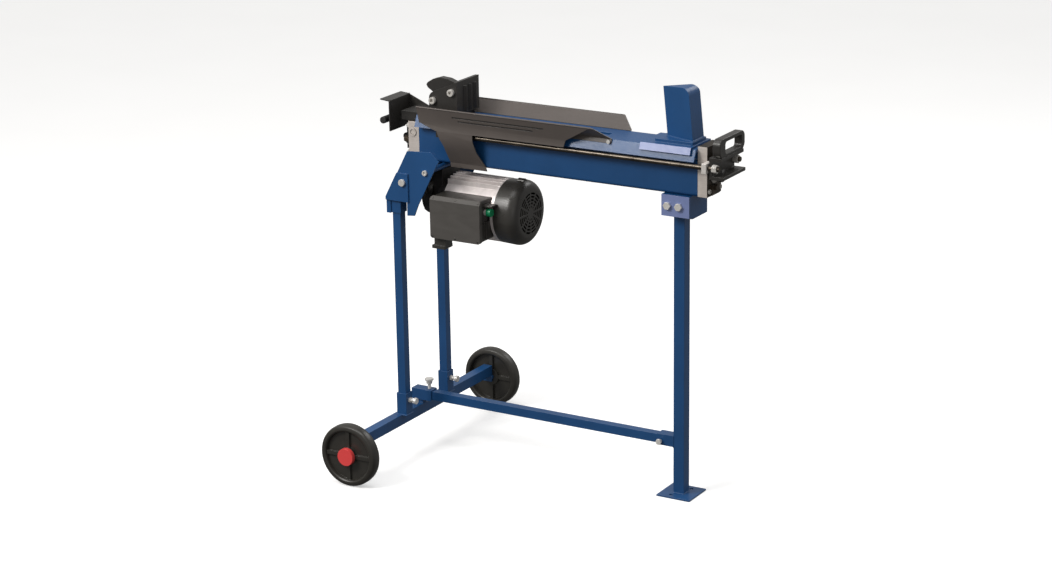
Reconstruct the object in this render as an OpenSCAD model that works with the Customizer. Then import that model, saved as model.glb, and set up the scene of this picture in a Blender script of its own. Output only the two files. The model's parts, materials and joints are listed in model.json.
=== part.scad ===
// Horizontal electric log splitter on a wheeled stand, built as separate pieces.
// Millimetres. X runs along the beam towards the wedge, Y across it, Z up.
// The origin is on the floor, under the centre of the front leg's foot plate.

/* [Stand] */
// Distance along the beam from the front leg to the rear legs
leg_pitch = 717; // [705:1:725]
// Distance between the centres of the two rear legs
rear_leg_gap = 190; // [184:1:196]
// Side of the front leg's square tube
front_tube = 28; // [24:1:30]
// Side of the rear legs' and base rail's square tube
rear_tube = 22; // [20:1:23]
// Side of the square foot plate
foot_size = 88; // [80:1:100]
// Height of the base rail's centre above the floor
rail_z = 132; // [128:1:136]
// Wheel diameter
wheel_d = 154; // [150:1:160]
// Wheel width across the tread
wheel_w = 32; // [31:1:34]
// Distance between the wheels' inner faces
wheel_gap = 624; // [600:1:640]

/* [Beam] */
// Height of the beam's underside above the floor
beam_z = 743; // [742:0.5:744]
// Width of the beam
beam_w = 72; // [70:1:73]
// Height of the log bed's top face above the floor
bed_z = 856; // [855:0.5:858]
// Width of the bed's top face
bed_w = 90; // [89:1:91]

/* [Ram] */
// Travel of the pusher
stroke = 398; // [370:1:400]
// Cylinder bore
bore_d = 56; // [50:1:57]
// Piston rod diameter
ram_rod_d = 30; // [25:1:32]
// Diameter of the two pull rods
pull_rod_d = 12; // [10:1:12]
// Distance between the two pull rods
pull_rod_gap = 108; // [107:1:109]

/* [Splitting] */
// Length of the wedge's cutting edge
wedge_h = 116; // [90:1:130]
// Thickness of the wedge at its back
wedge_t = 56; // [40:1:60]
// Height of the pusher's face above the floor
pusher_z = 948; // [940:1:960]

/* [Motor] */
// Height of the motor shaft above the floor
motor_z = 637; // [635:1:640]
// Outer diameter of the fan cover
fan_cover_d = 158; // [154:1:160]
// Diameter of the smooth part of the motor housing
housing_d = 138; // [136:1:140]

/* [Hidden] */
$fn = 64;

paint = [0.16, 0.32, 0.55];
black = [0.13, 0.13, 0.12];
warm_grey = [0.33, 0.30, 0.29];
steel = [0.72, 0.70, 0.67];
rubber = [0.08, 0.08, 0.08];

// Stand
rear_x = -leg_pitch;
axle_x = rear_x - 12;
axle_w = 25;
axle_z0 = 82;
axle_z1 = 109;
stub_z = wheel_d / 2;
stub_d = 16;
wheel_in = wheel_gap / 2;
stub_x = rear_x - 5;
axle_end = wheel_in + 1;
sleeve = rear_tube + 6;
socket_z1 = 165;
tube_wall = 2;
slip = 0.3;                 // clearance all round a tube that slides into another
leg_top = 686;
side_in = rear_leg_gap / 2 + sleeve / 2;
side_t = 3;

// Beam and its end plates
beam_top = bed_z - 26;
rear_plate_x0 = -722;
rear_plate_x1 = -692;
front_plate_x0 = 58;
front_plate_x1 = 82;
plate_w = 72;
plate_z0 = beam_z + 1;
rear_plate_top = 836;
front_plate_top = 862;
bed_skirt_w = bed_w + 22;
bed_skirt_z = bed_z - 27;
tie_y = 27;
tie_z = [757, 823];

// Ram
cyl_z = 794;
cyl_od = bore_d + 9;
cyl_x0 = -412;
piston_x0 = -390;
piston_x1 = -360;
rod_z0 = 819.5;
rod_y0 = pull_rod_gap / 2;
run = 0.05;                 // radial running clearance
cross_x0 = 97;
cross_x1 = 105;
slider_x0 = -628;
slider_x1 = -588;
tongue_w = 16;

// Motor and pump
housing_x0 = -612;
housing_x1 = -464;
cover_x1 = -404;
shaft_d = 25;
gear_teeth = 12;
gear_m = 3;
gear_c = gear_teeth * gear_m + 0.3;
pump_x0 = -680;
pocket_x0 = -652;
pocket_x1 = -634;

// Control valve and lever
valve_y = 14;
valve_x0 = rear_plate_x0 - 23;
pivot_x = valve_x0 - 9;
pivot_z = 786;
spool_z = 771;
grip_x = -787;
grip_z = 833;

// ---------------------------------------------------------------- helpers

module along_x(x0, x1) translate([x0, 0, 0]) rotate([90, 0, 90]) linear_extrude(x1 - x0) children();
module along_y(y0, y1) translate([0, y1, 0]) rotate([90, 0, 0]) linear_extrude(y1 - y0) children();
module along_z(z0, z1) translate([0, 0, z0]) linear_extrude(z1 - z0) children();
module rod_x(x0, x1, y, z, d, n = $fn) translate([x0, y, z]) rotate([0, 90, 0])
    cylinder(d = d, h = x1 - x0, $fn = n);
module rod_y(y0, y1, x, z, d, n = $fn) translate([x, y0, z]) rotate([-90, 0, 0])
    cylinder(d = d, h = y1 - y0, $fn = n);
module rod_z(z0, z1, x, y, d, n = $fn) translate([x, y, z0]) cylinder(d = d, h = z1 - z0, $fn = n);
module block(lo, hi) translate(lo) cube(hi - lo);
module both_sides() { children(); mirror([0, 1, 0]) children(); }

// Rectangle with round corners, centred
module round_rect(w, h, r) {
    square([w - 2 * r, h], center = true);
    square([w, h - 2 * r], center = true);
    for (x = [-1, 1], y = [-1, 1]) translate([x * (w / 2 - r), y * (h / 2 - r)]) circle(r);
}

function unit(v) = v / norm(v);
function right_of(v) = [v[1], -v[0]];
function mitre(p, i, t) = let(
    n = len(p) - 1,
    a = right_of(unit(i > 0 ? p[i] - p[i - 1] : p[1] - p[0])),
    b = right_of(unit(i < n ? p[i + 1] - p[i] : p[n] - p[n - 1])),
    m = unit(a + b)) p[i] + m * t / (m * a);

// Folded sheet of thickness t along the path p, on its right-hand side
module sheet(p, t) polygon(concat(p, [for (i = [len(p) - 1:-1:0]) mitre(p, i, t)]));

// Square tube section, centred
module tube_section(side, wall) difference() {
    square(side, center = true);
    square(side - 2 * wall, center = true);
}

// ---------------------------------------------------------------- stand

head_w = 56;
head_z0 = 698;
head_z1 = beam_z - 3.1;
bracket_in = 42.5;
bracket_t = 3;
bracket_bolt_x = [-14, 15];
bracket_bolt_z = 717;
bolt_d = 10;
anchor_d = 9;
anchor_at = [13, 28];
foot_t = 4;
stub_x0 = -58;

module front_leg() color(paint) difference() {
    union() {
        along_z(0, foot_t) square(foot_size, center = true);
        along_z(foot_t, head_z0 + 1) square(front_tube, center = true);
        block([-head_w / 2, -bracket_in + slip, head_z0], [head_w / 2, bracket_in - slip, head_z1]);
        along_x(stub_x0, -front_tube / 2 + 1) translate([0, rail_z]) square(sleeve, center = true);
    }
    along_z(foot_t, head_z0 - 3) square(front_tube - 2 * tube_wall, center = true);
    block([-head_w / 2 + 3, -bracket_in + 5, head_z0 + 3], [head_w / 2 - 3, bracket_in - 5, head_z1 - 3]);
    along_x(stub_x0 - 1, -front_tube / 2) translate([0, rail_z])
        square(rear_tube + 2 * slip, center = true);
    for (s = [-1, 1]) rod_z(-1, foot_t + 1, s * anchor_at[0], s * anchor_at[1], anchor_d);
    for (x = bracket_bolt_x) rod_y(-bracket_in, bracket_in, x, bracket_bolt_z, bolt_d + 0.6);
    rod_y(-sleeve, 0, stub_x0 + 9, rail_z - 4, 8.4);
}

module front_bracket() color(paint) difference() {
    x0 = -30;
    x1 = 42;
    z0 = 692;
    w = bracket_in + bracket_t;
    union() {
        block([x0, -w, z0], [x1, w, beam_z]);
        along_x(x1 - bracket_t, x1) polygon([[-w, z0 + 1], [-w, z0], [-28, z0 - 5], [w, z0 - 5], [w, z0 + 1]]);
    }
    block([x0 - 1, -bracket_in, z0 - 6], [x1 - bracket_t, bracket_in, beam_z - bracket_t]);
    for (x = bracket_bolt_x) rod_y(-w - 1, w + 1, x, bracket_bolt_z, bolt_d + 0.6);
}

module front_bracket_bolts() color(steel) {
    w = bracket_in + bracket_t;
    for (x = bracket_bolt_x) {
        rod_y(-w - 6.4, -w, x, bracket_bolt_z, 19, 6);
        rod_y(-w, w + 12, x, bracket_bolt_z, bolt_d);
        difference() {
            rod_y(w + 0.05, w + 8, x, bracket_bolt_z, 19, 6);
            rod_y(w - 1, w + 9, x, bracket_bolt_z, bolt_d + 2 * run);
        }
    }
}

module base_rail() color(paint) difference() {
    x0 = axle_x - 17;
    x1 = -front_tube / 2 - 2;
    along_x(x0, x1) translate([0, rail_z]) tube_section(rear_tube, tube_wall);
    rod_y(-rear_tube, 0, stub_x0 + 9, rail_z - 4, 8.4);
}

module rail_screws() color(steel) {
    // Screw and nut through the front leg's stub, and the lock screw on the axle sleeve
    x = stub_x0 + 9;
    z = rail_z - 4;
    rod_y(-sleeve / 2 - 5, -rear_tube / 2 + 6, x, z, 8);
    rod_y(-sleeve / 2 - 11, -sleeve / 2 - 5, x, z, 15, 6);
    lock_x = axle_x + 24;
    top = rail_z + sleeve / 2;
    rod_z(rail_z + rear_tube / 2 + 0.05, top + 14, lock_x, 0, 8);
    rod_z(top + 14, top + 22, lock_x, 0, 17, 6);
    rod_z(top + 22, top + 27, lock_x, 0, 22);
}

module axle_beam() color(paint) difference() {
    spacer_x = [axle_x - 10, axle_x + 10];
    socket_x = rear_x;
    union() {
        along_y(-axle_end, axle_end) translate([axle_x, (axle_z0 + axle_z1) / 2])
            square([axle_w, axle_z1 - axle_z0], center = true);
        both_sides() {
            block([axle_x - axle_w / 2, axle_end, stub_z - 12], [axle_x + axle_w / 2, axle_end + 5, axle_z1]);
            rod_y(axle_end, wheel_in + wheel_w + 5, stub_x, stub_z, stub_d);
            translate([0, rear_leg_gap / 2, 0]) along_z(axle_z1 - 1, socket_z1)
                translate([socket_x, 0]) square(sleeve, center = true);
        }
        along_x(axle_x - 20, axle_x + 37) translate([0, rail_z]) square(sleeve, center = true);
        block([spacer_x[0], -10, axle_z1 - 1], [spacer_x[1], 10, rail_z - sleeve / 2 + 1]);
    }
    both_sides() {
        block([axle_x - axle_w / 2 + 2.5, 12, axle_z0 + 2.5], [axle_x + axle_w / 2 - 2.5, axle_end, axle_z1 - 2.5]);
        translate([0, rear_leg_gap / 2, 0]) along_z(axle_z1, socket_z1 + 1)
            translate([socket_x, 0]) square(rear_tube + 2 * slip, center = true);
        rod_x(rear_x, rear_x + sleeve, rear_leg_gap / 2, 146, 8.4);
    }
    along_x(axle_x - 21, axle_x + 38) translate([0, rail_z]) square(rear_tube + 2 * slip, center = true);
    rod_z(rail_z, rail_z + sleeve, axle_x + 24, 0, 8.4);
}

module rear_leg(y) color(paint) along_z(axle_z1, leg_top) translate([rear_x, y])
    tube_section(rear_tube, tube_wall);
module near_rear_leg() rear_leg(-rear_leg_gap / 2);
module far_rear_leg() rear_leg(rear_leg_gap / 2);

module leg_clamp_screws() color(steel) both_sides() {
    z = 146;
    y = rear_leg_gap / 2;
    face = rear_x + sleeve / 2;
    rod_x(rear_x + rear_tube / 2 + 0.05, face + 16, y, z, 8);
    rod_x(face, face + 6, y, z, 14, 6);
    rod_x(face + 15, face + 22, y, z, 16);
}

// Outline of the rear bracket's side plates in X and Z, with the notch that shows the leg
side_outline = [
    [-741, 624], [-741, 665], [-678, 783], [-611, 787], [-589, 766], [-595, 757], [-650, 652],
    [-661, 625], [-682, 623], [-682, 657], [-729, 657], [-729, 624]];
tie_at = [[-691, 705], [-628, 735]];
tie_tube_d = [18, 14];
tie_bolt_d = [10, 8];

module rear_bracket() color(paint) difference() {
    union() {
        both_sides() {
            along_y(side_in, side_in + side_t) polygon(side_outline);
            along_y(side_in + side_t - 0.5, side_in + side_t + 4) intersection() {
                polygon(side_outline);
                translate([-745, 657]) square([69, 70]);
            }
            translate([0, rear_leg_gap / 2, 0]) along_z(625, leg_top)
                translate([rear_x, 0]) square(sleeve, center = true);
        }
        // Sloping back plate between the leg sockets, and the saddle that carries the beam
        along_y(-side_in + sleeve - 1, side_in - sleeve + 1)
            sheet([[-735, 676], [-694, beam_z - side_t]], side_t);
        block([-697, -side_in, beam_z - side_t], [-637, side_in, beam_z]);
    }
    both_sides() translate([0, rear_leg_gap / 2, 0]) along_z(620, leg_top + 1)
        translate([rear_x, 0]) square(rear_tube + 2 * slip, center = true);
    for (i = [0, 1]) rod_y(-side_in - 9, side_in + 9, tie_at[i][0], tie_at[i][1], tie_bolt_d[i] + 0.4);
}

module bracket_tie_tubes() color(steel) for (i = [0, 1]) difference() {
    rod_y(-side_in, side_in, tie_at[i][0], tie_at[i][1], tie_tube_d[i]);
    rod_y(-side_in - 1, side_in + 1, tie_at[i][0], tie_at[i][1], tie_bolt_d[i] + 0.4);
}

module bracket_tie_bolts() color(steel) {
    outer = side_in + side_t + 4;
    plain = side_in + side_t;
    a = tie_at[0];
    b = tie_at[1];
    rod_y(-outer, outer, a[0], a[1], tie_bolt_d[0]);
    both_sides() rod_y(outer, outer + 6, a[0], a[1], 17);
    rod_y(-plain, plain, b[0], b[1], tie_bolt_d[1]);
    both_sides() difference() {
        rod_y(plain, plain + 5, b[0], b[1], 13);
        rod_y(plain + 2, plain + 6, b[0], b[1], 6.9, 6);
    }
}

module wheel() {
    // Turned about the wheel's own axis, which lies along Z here; the outer face is up
    r = wheel_d / 2;
    rim = r - 15;
    w = wheel_w;
    difference() {
        union() {
            rotate_extrude() polygon([
                [rim, 2], [rim + 3, 0], [r - 7, 0], [r - 3, 2], [r - 0.8, 5.5], [r, 10], [r, w - 10],
                [r - 0.8, w - 5.5], [r - 3, w - 2], [r - 7, w], [rim + 3, w], [rim, w - 2],
                [rim - 2, 24], [rim - 2, 13]]);
            translate([0, 0, 14]) cylinder(r = rim - 1, h = 8);
            translate([0, 0, 6.5]) cylinder(d = 44, h = w - 9);
            for (a = [0:90:270]) rotate(a) block([12, -5, 8], [rim - 1, 5, w - 5]);
        }
        translate([0, 0, -1]) cylinder(d = stub_d + 2 * run, h = w + 2);
    }
    // Push-on hub cap
    difference() {
        translate([0, 0, w - 4]) cylinder(d = 43, h = 12);
        translate([0, 0, w - 5]) cylinder(d = 26, h = 11);
    }
}
module near_wheel() color(black) translate([stub_x, -wheel_in, stub_z]) rotate([90, 0, 0]) wheel();
module far_wheel() color(black) translate([stub_x, wheel_in, stub_z]) rotate([-90, 0, 0]) wheel();

// ---------------------------------------------------------------- beam, bed and tank

module beam() color(paint) {
    h = beam_top - beam_z;
    along_x(rear_plate_x1, front_plate_x0) translate([0, beam_z + h / 2]) difference() {
        round_rect(beam_w, h, 9);
        round_rect(beam_w - 6, h - 6, 6);
    }
}

module bed() color(paint) difference() {
    bw = bed_w / 2;
    sw = bed_skirt_w / 2;
    slope = (sw - bw) / (bed_z - bed_skirt_z);
    under = bed_z - 8;
    inner_top = bw + slope * 8 - 4.3;
    slot_x0 = slider_x0 - 4;
    slot_x1 = slider_x1 + stroke + 4;
    union() {
        along_x(rear_plate_x1, front_plate_x0) polygon([
            [-sw, bed_skirt_z], [-bw, bed_z], [bw, bed_z], [sw, bed_skirt_z],
            [sw - 4.3, bed_skirt_z], [inner_top, under], [-inner_top, under], [-sw + 4.3, bed_skirt_z]]);
        block([rear_plate_x1, -34, beam_top], [rear_plate_x1 + 28, 34, under + 1]);
        block([front_plate_x0 - 36, -34, beam_top], [front_plate_x0, 34, under + 1]);
    }
    block([slot_x0, -tongue_w / 2 - 1, under - 2], [slot_x1, tongue_w / 2 + 1, bed_z + 1]);
    both_sides() for (x = [-163.5, -660]) rod_y(39, 60, x, 851, 5.1);
}

module end_plate(x0, x1, top) difference() {
    block([x0, -plate_w / 2, plate_z0], [x1, plate_w / 2, top]);
    for (y = [-tie_y, tie_y], z = tie_z) rod_x(x0 - 1, x1 + 1, y, z, 8.4);
}

module rear_end_plate() color(steel) difference() {
    union() {
        end_plate(rear_plate_x0, rear_plate_x1, rear_plate_top);
        rod_y(-plate_w / 2 - 2, -plate_w / 2 + 1, -709, 810, 20);
        rod_x(rear_plate_x0 - 15, rear_plate_x0 + 1, -28, 789, 16, 6);
    }
    rod_y(-plate_w / 2 - 3, -plate_w / 2 - 0.5, -709, 810, 13);
    rod_x(rear_plate_x0 - 1, rear_plate_x0 + 18, valve_y, spool_z, 12 + 2 * run);
    rod_x(rear_plate_x0 + 17, rear_plate_x1 + 1, 0, cyl_z, 10.2);
}

module front_end_plate() color(steel) difference() {
    union() {
        end_plate(front_plate_x0, front_plate_x1, front_plate_top);
        block([front_plate_x1 - 1, -20, plate_z0 + 2], [front_plate_x1 + 5, 20, plate_z0 + 26]);
        rod_x(front_plate_x1 + 4, front_plate_x1 + 12, -6, 764, 15, 6);
    }
    rod_x(front_plate_x0 - 1, front_plate_x1 + 1, 0, cyl_z, 44);
}

module tie_rods() color(steel) for (y = [-tie_y, tie_y], z = tie_z)
    rod_x(rear_plate_x0 - 9, front_plate_x1 + (z < cyl_z ? 4 : 9), y, z, 8);

module tie_rod_nuts() color(steel) for (y = [-tie_y, tie_y], z = tie_z) {
    difference() {
        rod_x(rear_plate_x0 - 6.5, rear_plate_x0, y, z, 14, 6);
        rod_x(rear_plate_x0 - 7, rear_plate_x0 + 1, y, z, 8 + 2 * run);
    }
    difference() {
        rod_x(front_plate_x1, front_plate_x1 + (z < cyl_z ? 4 : 6.5), y, z, 12, 6);
        rod_x(front_plate_x1 - 1, front_plate_x1 + 8, y, z, 8 + 2 * run);
    }
}

module cylinder_tube() color(steel) difference() {
    rod_x(cyl_x0, front_plate_x0, 0, cyl_z, cyl_od);
    rod_x(cyl_x0 + 12, front_plate_x0 + 1, 0, cyl_z, bore_d);
    rod_x(cyl_x0 - 1, cyl_x0 + 13, 0, cyl_z, 10.2);
}

module pressure_pipe() color(steel) difference() {
    rod_x(rear_plate_x1 - 10, cyl_x0 + 10, 0, cyl_z, 10);
    rod_x(rear_plate_x1 - 11, cyl_x0 + 11, 0, cyl_z, 7);
}

module rod_gland() color(steel) difference() {
    rod_x(front_plate_x0 + 0.2, front_plate_x1 + 2, 0, cyl_z, 43.9);
    rod_x(front_plate_x0 - 1, front_plate_x1 + 3, 0, cyl_z, ram_rod_d + 2 * run);
    rod_x(front_plate_x0 + 10, front_plate_x0 + 16, 0, cyl_z, ram_rod_d + 9);
}

module rod_seal() color(rubber) difference() {
    rod_x(front_plate_x0 + 10.1, front_plate_x0 + 15.9, 0, cyl_z, ram_rod_d + 8.9);
    rod_x(front_plate_x0 + 10, front_plate_x0 + 17, 0, cyl_z, ram_rod_d + 2 * run);
}

// ---------------------------------------------------------------- ram

module piston() color(steel) difference() {
    rod_x(piston_x0, piston_x1, 0, cyl_z, bore_d - 2 * run);
    difference() {
        rod_x(piston_x0 + 11, piston_x0 + 19, 0, cyl_z, bore_d + 1);
        rod_x(piston_x0 + 10, piston_x0 + 20, 0, cyl_z, bore_d - 9);
    }
}

module piston_seal() color(rubber) difference() {
    rod_x(piston_x0 + 11.1, piston_x0 + 18.9, 0, cyl_z, bore_d - 2 * run);
    rod_x(piston_x0 + 11, piston_x0 + 19, 0, cyl_z, bore_d - 8.8);
}

module piston_rod() color(steel) {
    rod_x(piston_x1, cross_x0, 0, cyl_z, ram_rod_d);
    rod_x(cross_x0 - 0.1, cross_x1, 0, cyl_z, ram_rod_d - 6);
}

cross_w = 57;
cross_low = 794;
cross_high = 845;

module crosshead() color(black) difference() {
    union() {
        along_x(cross_x0, cross_x1) {
            translate([0, (cross_low + cross_high) / 2]) square([2 * cross_w, cross_high - cross_low], center = true);
            translate([0, cyl_z]) circle(18);
        }
        block([cross_x1 - 1, -cross_w, cross_low], [133, cross_w, cross_low + 8]);
        block([cross_x1 - 1, -cross_w, cross_high - 8], [128, cross_w, cross_high]);
    }
    rod_x(cross_x0 - 1, cross_x1 + 0.01, 0, cyl_z, ram_rod_d - 6 + 2 * run);
    for (y = [-rod_y0, rod_y0]) rod_x(cross_x0 - 1, cross_x1 + 1, y, rod_z0, pull_rod_d + 0.2);
}

handle_x0 = 108;
handle_x1 = 128;

module carry_handle() color(black) {
    z0 = cross_high;
    z1 = 889;
    difference() {
        along_x(handle_x0, handle_x1) {
            translate([0, (z0 + z1) / 2]) round_rect(126, z1 - z0, 16);
            translate([0, z0 + 8]) square([110, 16], center = true);
        }
        along_x(handle_x0 - 1, handle_x1 + 1) translate([6, 866]) round_rect(82, 27, 7);
    }
}

module pull_rods() color(steel) for (y = [-rod_y0, rod_y0])
    rod_x(slider_x0, cross_x1 + 17, y, rod_z0, pull_rod_d);

module rod_nuts() color(steel) for (y = [-rod_y0, rod_y0]) {
    difference() {
        rod_x(cross_x1, cross_x1 + 12, y, rod_z0, 20.7, 6);
        rod_x(cross_x1 - 1, cross_x1 + 13, y, rod_z0, pull_rod_d + 2 * run);
    }
    difference() {
        translate([0, y, rod_z0]) rotate([30, 0, 0]) rod_x(slider_x1, slider_x1 + 7, 0, 0, 20, 6);
        rod_x(slider_x1 - 1, slider_x1 + 8, y, rod_z0, pull_rod_d + 2 * run);
    }
}

module rod_guides() color(steel) both_sides() difference() {
    block([front_plate_x1, 34, 808], [front_plate_x1 + 12, 66, 831]);
    rod_x(front_plate_x1 - 1, front_plate_x1 + 13, rod_y0, rod_z0, pull_rod_d + 2 * run);
}

module slider() color(black) difference() {
    top = bed_z - 12;
    union() {
        along_x(slider_x0, slider_x1) {
            translate([0, top - 5.5]) square([89, 11], center = true);
            for (s = [-1, 1]) {
                translate([s * 41.25, (top + 811.5) / 2]) square([6.5, top - 811.5], center = true);
                translate([s * 49.5, 819.5]) square([23, 16], center = true);
            }
        }
    }
    for (y = [-rod_y0, rod_y0]) rod_x(slider_x0 - 1, slider_x1 + 1, y, rod_z0, pull_rod_d + 2 * run);
}

pusher_x0 = -652;
pusher_x1 = -573;
cheek_y = 50;
cheek_t = 4;
pusher_bolt_at = [[-640, 898], [-588, 922]];

module pusher_slide() color(black) difference() {
    union() {
        block([pusher_x0, -43, bed_z + 0.1], [pusher_x1 - 9, 43, bed_z + 10]);
        block([slider_x0, -tongue_w / 2, bed_z - 12], [slider_x1, tongue_w / 2, bed_z + 1]);
        along_y(-9, 9) polygon([
            [pusher_x1 - 9, bed_z + 9], [pusher_x1 - 9, 925], [-600, 935], [-622, 943], [-646, 945],
            [-666, 939], [-681, 930], [-685, 924], [-681, 917], [-662, 905], [-650, bed_z + 9]]);
        for (p = pusher_bolt_at) rod_y(-cheek_y + cheek_t, cheek_y - cheek_t, p[0], p[1], 13);
    }
    for (p = pusher_bolt_at) both_sides() rod_y(20, cheek_y, p[0], p[1], 10.2);
}

module pusher_plate() color(black) {
    difference() {
        union() {
            both_sides() along_y(cheek_y - cheek_t, cheek_y) polygon([
                [pusher_x0, bed_z + 11], [pusher_x1, bed_z + 11], [pusher_x1, pusher_z],
                [-637, 921], [-646, 916], [-651, 909], [pusher_x0, 902]]);
            along_x(pusher_x1 - 8, pusher_x1) translate([0, (bed_z + 11 + pusher_z) / 2])
                round_rect(2 * cheek_y, pusher_z - bed_z - 11, 5);
        }
        for (p = pusher_bolt_at) rod_y(-cheek_y - 1, cheek_y + 1, p[0], p[1], 10.4);
    }
    // Upright ribs that bite into the log's end
    for (y = [-14, 8, 30]) along_z(bed_z + 16, pusher_z - 14)
        translate([pusher_x1 - 0.5, y]) polygon([[0, -5], [6, -1], [6, 1], [0, 5]]);
}

module pusher_bolts() color(steel) for (p = pusher_bolt_at) both_sides() difference() {
    union() {
        rod_y(cheek_y, cheek_y + 8, p[0], p[1], 17);
        rod_y(26, cheek_y, p[0], p[1], bolt_d);
    }
    rod_y(cheek_y + 3, cheek_y + 9, p[0], p[1], 9.2, 6);
}

// ---------------------------------------------------------------- wedge and trough

foot_z = bed_z + 12.5;
saddle_z = bed_z + 4.5;
blade_lean = 5.5;
blade_l = 79;

module wedge() color(paint) {
    x0 = -82;
    x1 = 48;
    half = bed_w / 2 + 3;
    // Saddle over the bed with sloping side flanges, and the foot plate of the blade
    along_x(x0, x1) {
        translate([0, saddle_z - 2.2]) square([2 * half, 4.4], center = true);
        for (s = [-1, 1]) polygon([[s * (half - 2), saddle_z], [s * (half + 1.5), saddle_z],
            [s * (half + 8.5), bed_z - 12], [s * (half + 4.5), bed_z - 12], [s * (half - 2), saddle_z - 4.4]]);
    }
    block([-52, -34, saddle_z - 0.1], [44, 34, foot_z]);
    difference() {
        translate([-38, 0, foot_z]) rotate([0, -blade_lean, 0]) blade();
        block([-100, -60, 800], [100, 60, foot_z - 0.5]);
    }
}

// Blade: sharp at x = 0, square behind, with a round upper back corner
module blade() intersection() {
    r = 20;
    translate([0, 0, -15]) linear_extrude(wedge_h + 15)
        polygon([[0, 0], [blade_l, -wedge_t / 2], [blade_l, wedge_t / 2]]);
    along_y(-wedge_t, wedge_t) {
        translate([0, -15]) square([blade_l - r, wedge_h + 15]);
        translate([0, -15]) square([blade_l, wedge_h + 15 - r]);
        translate([blade_l - r, wedge_h - r]) circle(r);
    }
}

// Section of one trough side: flange on the bed, flared wing, outer skirt and lower band
wing_path = [[49, bed_z - 9], [45.6, bed_z + 1], [48, bed_z + 3], [77, bed_z + 29.5]];
skirt_path = [[77, bed_z + 29.5], [66, bed_z - 11], [68, bed_z - 27]];
strap_path = [[68, bed_z - 27], [68, 812], [59, 785], [38.4, 748], [38.4, 737]];
trough_x0 = -672;

module trough_side() {
    // Positive Y side
    difference() {
        along_x(trough_x0, -157) sheet(wing_path, 2);
        along_y(40, 90) polygon([[-193, bed_z + 31], [-157, bed_z + 2], [-140, bed_z + 2], [-140, bed_z + 40],
            [-193, bed_z + 40]]);
        for (x = [-163.5, -660]) rod_y(40, 60, x, 851, 5.4);
    }
    difference() {
        along_x(trough_x0, -193) sheet(skirt_path, 2);
        along_y(40, 90) polygon([[-193, bed_z + 31], [-269, bed_z - 11], [-274, bed_z - 28], [-190, bed_z - 28],
            [-190, bed_z + 31]]);
        along_y(40, 90) polygon([[trough_x0 - 1, bed_z - 12], [-665, bed_z - 13], [-623, bed_z - 28],
            [trough_x0 - 1, bed_z - 28]]);
        // Two long pressed grooves
        for (g = [[-575, -325, 11], [-560, -355, 2]])
            translate([0, 69.3 + 0.268 * g[2], bed_z + g[2]]) rotate([-15, 0, 0])
                block([g[0], -1.3, -1.8], [g[1], 4, 1.8]);
    }
    intersection() {
        along_x(-640, -490) sheet(strap_path, 2);
        along_y(30, 90) polygon([[-623, bed_z - 25], [-606, 790], [-601, 730], [-498, 730], [-517, 785],
            [-522, 815], [-522, bed_z - 25]]);
    }
}
module far_trough() color(warm_grey) trough_side();
module near_trough() color(warm_grey) mirror([0, 1, 0]) trough_side();

module trough_screws() color(steel) both_sides() for (x = [-163.5, -660]) {
    rod_y(51.2, 54.5, x, 851, 9);
    rod_y(40, 51.3, x, 851, 5);
}

// ---------------------------------------------------------------- motor and pump

fin_tip = 78;

module motor_housing() color([0.78, 0.77, 0.75]) difference() {
    union() {
        rod_x(housing_x0, housing_x1, 0, motor_z, housing_d);
        // Cooling fins above and below
        for (i = [-3:3]) {
            y = i * 12;
            up = sqrt(fin_tip * fin_tip - y * y);
            block([housing_x0, y - 2, motor_z], [housing_x1, y + 2, motor_z + up]);
        }
        for (y = [-20:10:20]) block([housing_x0, y - 2, motor_z - 74], [housing_x1, y + 2, motor_z]);
        rod_x(housing_x1 - 8, housing_x1, 0, motor_z, 154);
    }
    rod_x(housing_x0 - 1, housing_x1 - 12, 0, motor_z, 120);
    rod_x(housing_x0, housing_x1 + 1, 0, motor_z, 40);
    rod_x(housing_x1 - 20, housing_x1 - 4, 0, motor_z, 52.1);
}

module stator() color([0.45, 0.3, 0.2]) difference() {
    rod_x(-594, -504, 0, motor_z, 119.8);
    rod_x(-595, -503, 0, motor_z, 81.5);
}

module rotor_shaft() color(steel) {
    rod_x(pocket_x0 + 1, -628, 0, motor_z, 15);
    rod_x(-628, housing_x1 - 4.2, 0, motor_z, shaft_d);
    rod_x(housing_x1 - 4.3, -438, 0, motor_z, 18);
    rod_x(-590, -508, 0, motor_z, 80);
}

module motor_bearings() color(steel) for (x = [-626, housing_x1 - 19.5]) difference() {
    rod_x(x, x + 14, 0, motor_z, 52);
    rod_x(x - 1, x + 15, 0, motor_z, shaft_d + 2 * run);
}

module cooling_fan() color(black) difference() {
    union() {
        rod_x(-458, -441, 0, motor_z, 44);
        translate([0, 0, motor_z]) for (a = [0:45:315]) rotate([a, 0, 0])
            block([-458, -2, 20], [-436, 2, 60]);
        rod_x(-459, -456, 0, motor_z, 118);
    }
    rod_x(-460, -434, 0, motor_z, 18.04);
}

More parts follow.
